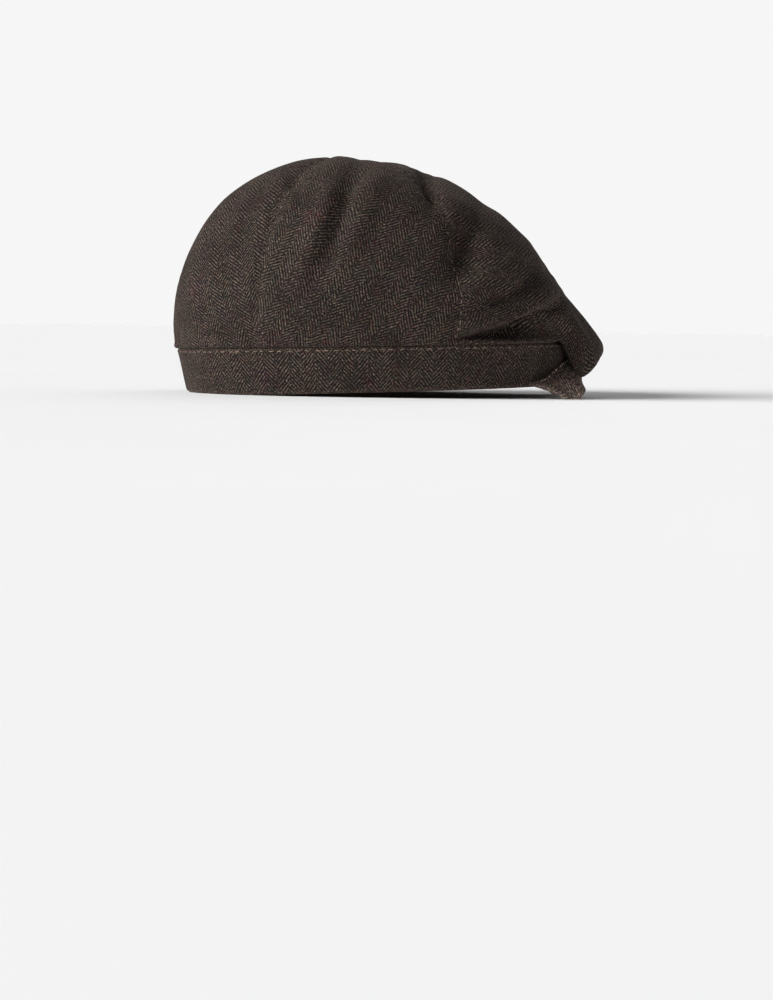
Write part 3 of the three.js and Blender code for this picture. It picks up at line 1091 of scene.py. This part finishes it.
class Graph:
    """A material's node tree, built by expressions."""

    def __init__(self, name: str) -> None:
        """Starts an empty material.

        Args:
            name: the material's name.
        """
        self.material = bpy.data.materials.new(name)
        self.material.use_nodes = True
        self.tree = self.material.node_tree
        self.tree.nodes.clear()

    def node(self, kind: str, settings: dict[str, Any], sockets: dict[Any, Any]) -> bpy.types.Node:
        """Adds a node.

        Args:
            kind: the node's type.
            settings: its own settings, set first. The stops of a ramp go under "stops".
            sockets: values or links for its inputs, by name or number.

        Returns:
            The node.
        """
        node = self.tree.nodes.new(kind)
        for key, value in settings.items():
            if key == "stops":
                self._set_stops(node.color_ramp, value)
            else:
                setattr(node, key, value)
        for key, value in sockets.items():
            if isinstance(value, Value):
                self.tree.links.new(value.socket, node.inputs[key])
            else:
                node.inputs[key].default_value = value
        return node

    @staticmethod
    def _set_stops(ramp: bpy.types.ColorRamp, stops: Sequence[tuple[float, Colour]]) -> None:
        """Sets a ramp's stops.

        Args:
            ramp: the ramp.
            stops: the place and colour of each.
        """
        while len(ramp.elements) < len(stops):
            ramp.elements.new(0.5)
        for element, (place, colour) in zip(ramp.elements, stops):
            element.position = place
            element.color = (*colour, 1.0)

    def out(self, node: bpy.types.Node, name: Union[str, int] = 0) -> Value:
        """Wraps an output of a node."""
        return Value(self, node.outputs[name])

    def object_place(self) -> Value:
        """The place on the piece, in its own coordinates."""
        return self.out(self.node("ShaderNodeTexCoord", {}, {}), "Object")

    def math(self, operation: str, *values: Number) -> Value:
        """Adds a Math node."""
        node = self.node("ShaderNodeMath", {"operation": operation}, dict(enumerate(values)))
        return self.out(node)

    def noise(self, place: Value, scale: float, detail: float = 2.0) -> Value:
        """Adds soft noise.

        Args:
            place: where it is read.
            scale: how fine it is, in waves for each metre.
            detail: how many finer layers it has.

        Returns:
            The noise, from 0 to 1.
        """
        settings = {"noise_dimensions": "3D"}
        sockets = {"Vector": place, "Scale": scale, "Detail": detail, "Roughness": 0.6}
        return self.out(self.node("ShaderNodeTexNoise", settings, sockets), "Fac")

    def spread(self, value: Value, low: float, high: float, start: float = 0.0, end: float = 1.0) -> Value:
        """Maps one range to another, with soft ends.

        Args:
            value: what is mapped.
            low: the value that gives the start.
            high: the value that gives the end.
            start: the result up to the low value.
            end: the result from the high value on.

        Returns:
            The mapped value.
        """
        sockets = {"Value": value, "From Min": low, "From Max": high, "To Min": start, "To Max": end}
        settings = {"interpolation_type": "SMOOTHSTEP"}
        return self.out(self.node("ShaderNodeMapRange", settings, sockets))

    def mix(self, share: Number, first: Any, second: Any) -> Value:
        """Mixes two colours.

        Args:
            share: how much of the second is taken.
            first: a colour or a socket.
            second: a colour or a socket.

        Returns:
            The mixed colour.
        """
        first = first if isinstance(first, Value) else (*first, 1.0)
        second = second if isinstance(second, Value) else (*second, 1.0)
        sockets = {"Factor": share, 6: first, 7: second}
        return self.out(self.node("ShaderNodeMix", {"data_type": "RGBA"}, sockets), 2)

    def bump(self, height: Value, strength: float, distance: float) -> Value:
        """Adds a Bump node.

        Args:
            height: the height of the surface.
            strength: how much of it shows.
            distance: the full height, in metres.

        Returns:
            The bent normal.
        """
        sockets = {"Height": height, "Strength": strength, "Distance": distance}
        return self.out(self.node("ShaderNodeBump", {}, sockets))

    def finish(self, kind: str, sockets: dict[str, Any]) -> bpy.types.Material:
        """Adds the shader and the output.

        Args:
            kind: the shader's type.
            sockets: values or links for its inputs.

        Returns:
            The finished material.
        """
        shader = self.node(kind, {}, sockets)
        self.node("ShaderNodeOutputMaterial", {}, {"Surface": self.out(shader)})
        return self.material


@dataclass(frozen=True)
class Tweed:
    """Herringbone wool tweed. Sizes are in metres on the cloth, and colours are linear.

    The scales are those of the noise: how many waves it has in a metre.
    """

    name: str
    tone: float = 0.69
    column: float = 7 * MM
    pitch: float = 1.5 * MM
    lean: float = 41.0
    yarn_scale: float = 900.0
    fuzz_scale: float = 1900.0
    glint_scale: float = 1100.0
    patch_scale: float = 45.0
    drift: float = 2.0 * MM
    drift_up: float = 1.8 * MM
    relief: float = 0.4 * MM
    ground: tuple[Colour, ...] = (
        (0.0082, 0.0052, 0.0062),
        (0.0125, 0.0068, 0.0074),
        (0.0062, 0.0066, 0.0072),
    )
    weft: tuple[Colour, ...] = (
        (0.066, 0.025, 0.024),
        (0.040, 0.030, 0.024),
        (0.022, 0.032, 0.026),
        (0.046, 0.031, 0.028),
        (0.027, 0.027, 0.038),
        (0.064, 0.027, 0.024),
    )
    line: tuple[Colour, ...] = (
        (0.150, 0.066, 0.058),
        (0.180, 0.126, 0.084),
        (0.085, 0.096, 0.078),
        (0.196, 0.136, 0.100),
        (0.120, 0.092, 0.100),
        (0.178, 0.070, 0.054),
    )
    pale: Colour = (0.44, 0.32, 0.24)

    def toned(self, colour: Colour) -> Colour:
        """A colour as bright as this cloth."""
        return tuple(channel * self.tone for channel in colour)

    def heather(self, graph: Graph, share: Value, colours: Sequence[Colour]) -> Value:
        """Picks among the yarn's colours.

        Args:
            graph: the material's graph.
            share: noise that picks the colour.
            colours: the colours.

        Returns:
            The picked colour.
        """
        low, width = 0.36, 0.28
        stops = [(low + width * k / (len(colours) - 1), self.toned(c)) for k, c in enumerate(colours)]
        return graph.out(graph.node("ShaderNodeValToRGB", {"stops": stops}, {"Fac": share}), "Color")

    def twill(self, graph: Graph, place: Value) -> Value:
        """Draws the twill lines, which turn at each column.

        Args:
            graph: the material's graph.
            place: the place on the cloth.

        Returns:
            1 on the lines and 0 between them.
        """
        axes = graph.node("ShaderNodeSeparateXYZ", {}, {"Vector": place})
        across = graph.out(axes, "X") + (graph.noise(place, 90.0, 3.0) - 0.5) * self.drift + 4.0
        up = graph.out(axes, "Y") + (graph.noise(place, 150.0, 3.0) - 0.5) * self.drift_up + 4.0
        zigzag = graph.math("PINGPONG", across, self.column)
        parity = graph.math("MODULO", graph.math("FLOOR", across / self.column), 2.0)
        lean = math.radians(self.lean)
        phase = (up * math.sin(lean) - zigzag * math.cos(lean)) / self.pitch + parity * 0.5
        wave = graph.math("SINE", phase * FULL_TURN) * 0.5 + 0.5
        return graph.spread(wave, 0.3, 0.95)

    def build(self) -> bpy.types.Material:
        """Builds the cloth: twill lines of broken, heathered yarn over a dark ground, fuzz, wear and
        painted glint highlights.

        Returns:
            The material.
        """
        graph = Graph(self.name)
        place = graph.out(graph.node("ShaderNodeUVMap", {"uv_map": WEAVE_MAP}, {}), "UV")
        twill = self.twill(graph, place)
        yarn = graph.noise(place, self.yarn_scale, 4.0)
        patch = graph.noise(place, self.patch_scale, 4.0)
        fuzz = graph.noise(place, self.fuzz_scale)
        strength = graph.spread(yarn, 0.43, 0.6, 0.0, 1.25) * graph.spread(patch, 0.35, 0.62, 0.45, 1.0)
        hue = graph.noise(place, 55.0, 5.0) * 0.5 + graph.noise(place, 480.0) * 0.5
        line = self.heather(graph, hue, self.line)
        ground = self.heather(graph, graph.noise(place, 85.0, 4.0), self.ground)
        weft = self.heather(graph, graph.noise(place, 130.0, 4.0), self.weft)
        ground = graph.mix(twill * 0.3 + graph.spread(fuzz, 0.44, 0.64) * 0.4, ground, weft)
        cloth = graph.mix(twill * strength + graph.spread(fuzz, 0.5, 0.75) * 0.18, ground, line)
        # Painted highlight: pale glint specks, stronger on the twill lines, are painted into the colour,
        # and the wear adds a little of the same pale colour.
        specks = graph.spread(graph.noise(place, self.glint_scale, 1.0), 0.6, 0.72)
        painted_glint = specks * (0.35 + twill * 0.65)
        worn = graph.out(graph.node("ShaderNodeAttribute", {"attribute_name": WEAR_LAYER}, {}), "Fac")
        painted_glint_and_wear = painted_glint * 0.6 + worn * graph.spread(yarn, 0.35, 0.7) * 0.12
        height = twill * 0.6 + yarn * 0.5 + fuzz * 0.6
        sockets = {
            "Base Color": graph.mix(painted_glint_and_wear, cloth, self.toned(self.pale)),
            "Roughness": graph.spread(fuzz, 0.2, 0.8, 0.82, 1.0),
            "Normal": graph.bump(height, 0.6, self.relief),
            "Specular IOR Level": 0.05,
            "Sheen Weight": 0.05,
            "Sheen Roughness": 0.45,
            "Sheen Tint": (0.8, 0.62, 0.54, 1.0),
        }
        return graph.finish("ShaderNodeBsdfPrincipled", sockets)


@dataclass(frozen=True)
class Thread:
    """Plain sewing thread."""

    name: str = "thread"
    colour: Colour = (0.3, 0.205, 0.155)
    shade: Colour = (0.1, 0.064, 0.05)

    def build(self) -> bpy.types.Material:
        """Builds the thread, with its twist as a fine ripple.

        Returns:
            The material.
        """
        graph = Graph(self.name)
        speckle = graph.noise(graph.object_place(), 1500.0)
        sockets = {
            "Base Color": graph.mix(graph.spread(speckle, 0.35, 0.65), self.shade, self.colour),
            "Roughness": 0.8,
            "Normal": graph.bump(speckle, 0.4, 0.1 * MM),
            "Specular IOR Level": 0.25,
        }
        return graph.finish("ShaderNodeBsdfPrincipled", sockets)


@dataclass(frozen=True)
class Paper:
    """Plain pale floor paper."""

    name: str = "floor_paper"
    colour: Colour = (0.86, 0.86, 0.86)

    def build(self) -> bpy.types.Material:
        """Builds the paper, with a faint mottle.

        Returns:
            The material.
        """
        graph = Graph(self.name)
        mottle = graph.spread(graph.noise(graph.object_place(), 4.0), 0.3, 0.7)
        low = tuple(0.99 * channel for channel in self.colour)
        sockets = {
            "Base Color": graph.mix(mottle, low, self.colour),
            "Roughness": 0.9,
            "Specular IOR Level": 0.0,
        }
        return graph.finish("ShaderNodeBsdfPrincipled", sockets)


@dataclass(frozen=True)
class Softbox:
    """A square soft light that looks at the cap."""

    name: str
    place: tuple[float, float, float]
    size: float
    watts: float

    def build(self, target: Vector) -> None:
        """Builds the light.

        Args:
            target: the place that it looks at.
        """
        data = bpy.data.lights.new(self.name, "AREA")
        data.shape = "SQUARE"
        data.size = self.size
        data.energy = self.watts
        lamp = new_object(self.name, data)
        lamp.location = self.place
        lamp.rotation_euler = (target - lamp.location).to_track_quat("-Z", "Y").to_euler()


@dataclass(frozen=True)
class FarLight:
    """A broad, soft light from far off, which lights the whole floor evenly.

    Its strength is in watts for each square metre, and its spread in degrees.
    """

    name: str
    comes_from: tuple[float, float, float]
    strength: float
    spread: float

    def build(self) -> None:
        """Builds the light."""
        data = bpy.data.lights.new(self.name, "SUN")
        data.energy = self.strength
        data.angle = math.radians(self.spread)
        lamp = new_object(self.name, data)
        lamp.rotation_euler = Vector(self.comes_from).to_track_quat("Z", "Y").to_euler()


@dataclass
class Studio:
    """Pale floor and backdrop, soft lights and the camera at the photograph's angle."""

    frame_width: int = 773
    frame_height: int = 1000
    metre_per_pixel: float = 0.5598 * MM
    distance: float = 1.5
    camera_height: float = 40 * MM
    cap_column: float = 385.4
    floor_row: float = 393.9
    roll: float = 0.85
    sensor: float = 36.0
    floor_radius: float = 14.0
    backdrop_share: float = 0.98
    lit_height: float = 50 * MM
    backdrop: Colour = (0.923, 0.923, 0.923)
    ambient: float = 0.18
    far_lights: tuple[FarLight, ...] = (
        FarLight("key", (-0.86, -0.4, 0.44), 5.5, 40.0),
        FarLight("back", (0.35, 0.85, 0.4), 1.0, 60.0),
    )
    softboxes: tuple[Softbox, ...] = (
        Softbox("table", (0.62, -0.62, -0.95), 0.8, 8.0),
        Softbox("fill", (1.8, -0.75, 0.22), 0.8, 1.2),
    )

    def camera(self) -> None:
        """Sets the camera so that the cap falls where it is in the photograph."""
        data = bpy.data.cameras.new("camera")
        data.sensor_width = self.sensor
        data.lens = self.sensor * self.distance / (self.frame_height * self.metre_per_pixel)
        camera = new_object("camera", data)
        side = (self.frame_width / 2 - self.cap_column) * self.metre_per_pixel
        aim_height = (self.floor_row - self.frame_height / 2) * self.metre_per_pixel
        camera.location = (side, -self.distance, self.camera_height)
        tilt = math.atan2(self.camera_height - aim_height, self.distance)
        down = Matrix.Rotation(math.pi / 2 - tilt, 4, "X")
        camera.rotation_euler = (down @ Matrix.Rotation(math.radians(self.roll), 4, "Z")).to_euler()
        bpy.context.scene.camera = camera

    def floor(self) -> None:
        """Builds the floor, which lets the light from below pass."""
        bm = bmesh.new()
        bmesh.ops.create_circle(bm, cap_ends=True, segments=96, radius=self.floor_radius)
        piece = mesh_object("floor", bm, Paper().build())
        piece.visible_shadow = False

    def sky(self) -> None:
        """Builds the pale backdrop behind and above, which only the camera sees."""
        glow = {"Color": (*self.backdrop, 1.0), "Strength": 1.0}
        material = Graph("backdrop").finish("ShaderNodeEmission", glow)
        bm = bmesh.new()
        radius = self.floor_radius * self.backdrop_share
        bmesh.ops.create_uvsphere(bm, u_segments=48, v_segments=24, radius=radius)
        piece = mesh_object("backdrop", bm, material)
        piece.visible_diffuse = False
        piece.visible_glossy = False
        piece.visible_shadow = False
        piece.visible_transmission = False

    def build(self) -> None:
        """Builds the whole studio."""
        self.camera()
        self.floor()
        self.sky()
        for light in self.far_lights:
            light.build()
        for light in self.softboxes:
            light.build(Vector((0, 0, self.lit_height)))
        world = bpy.data.worlds.new("studio")
        world.use_nodes = True
        back = world.node_tree.nodes["Background"]
        back.inputs["Color"].default_value = (1.0, 1.0, 1.0, 1.0)
        back.inputs["Strength"].default_value = self.ambient
        bpy.context.scene.world = world
        bpy.context.scene.view_settings.view_transform = "Standard"


@dataclass(frozen=True)
class Seam:
    """A row of stitches beside a seam of the crown.

    It lies on the panel of that number, beside its second seam if at_end is set. A shown row has
    full stitches, and any other is nearly lost in the wool.
    """

    panel: int
    at_end: bool
    shown: bool = False

    @property
    def name(self) -> str:
        """Name of the row."""
        return f"seam_stitches_{self.panel}_{'end' if self.at_end else 'start'}"


SEAMS = (
    Seam(2, False, shown=True),
    Seam(2, True),
    Seam(3, True),
    Seam(5, False),
    Seam(5, True, shown=True),
    Seam(6, True),
)


def sew(crown: Crown, band: Band, peak: Peak, thread: bpy.types.Material) -> None:
    """Sews the rows of stitches that show.

    Args:
        crown: the crown, already built.
        band: the band.
        peak: the peak.
        thread: the thread's material.
    """
    full = Stitching(thread)
    sunk = Stitching(thread, length=1.7 * MM, thick=0.42 * MM, hidden=0.5)
    turns = np.linspace(-math.pi, math.pi, 721)
    line = band.face(turns, np.full_like(turns, 1 - 1.9 * MM / band.form.height))
    facing = unit((line - [band.form.centre_x, 0, 0]) * [1, 1, 0])
    full.row("band_stitches", line, facing, "band_wool")
    for seam in SEAMS:
        line, facing = crown.beside_seam(seam.panel, seam.at_end, 2.0 * MM)
        stitching = full if seam.shown else sunk
        stitching.row(seam.name, line, facing, "crown_wool")
    line, facing = peak.near_joint(np.linspace(-0.97, 0.97, 181), 1.9 * MM)
    # The peak's thread is a far paler copy of the thread, a painted highlight: it makes the row read as a
    # lit pale line along the joint, which lies in shade.
    pale = Thread("peak_thread_painted_highlight", colour=(0.92, 0.72, 0.58), shade=(0.5, 0.36, 0.29)).build()
    edging = Stitching(pale, pitch=3.9 * MM, length=3.7 * MM, thick=0.55 * MM)
    edging.row("peak_stitches", line, facing, "peak_wool")


def main() -> None:
    """Builds the cap and the studio, and logs each piece."""
    logging.basicConfig(level=logging.INFO, format="%(name)s: %(message)s")
    Studio().build()
    band_form = BandForm.from_frame()
    crown = Crown(CrownForm(band_form), Tweed("crown_tweed").build())
    crown.build()
    log.info("folds: %s", ", ".join(fold.name for fold in FOLDS))
    band = Band(band_form, Tweed("band_tweed").build())
    band.build()
    # The peak's cloth is a lit copy of the same tweed, 2.55 times brighter than the crown's and band's:
    # painted light for the light that falls on the peak.
    peak = Peak(band_form, Tweed("peak_tweed_painted_light", tone=2.55).build())
    peak.build()
    sew(crown, band, peak, Thread().build())


if __name__ == "__main__":
    main()
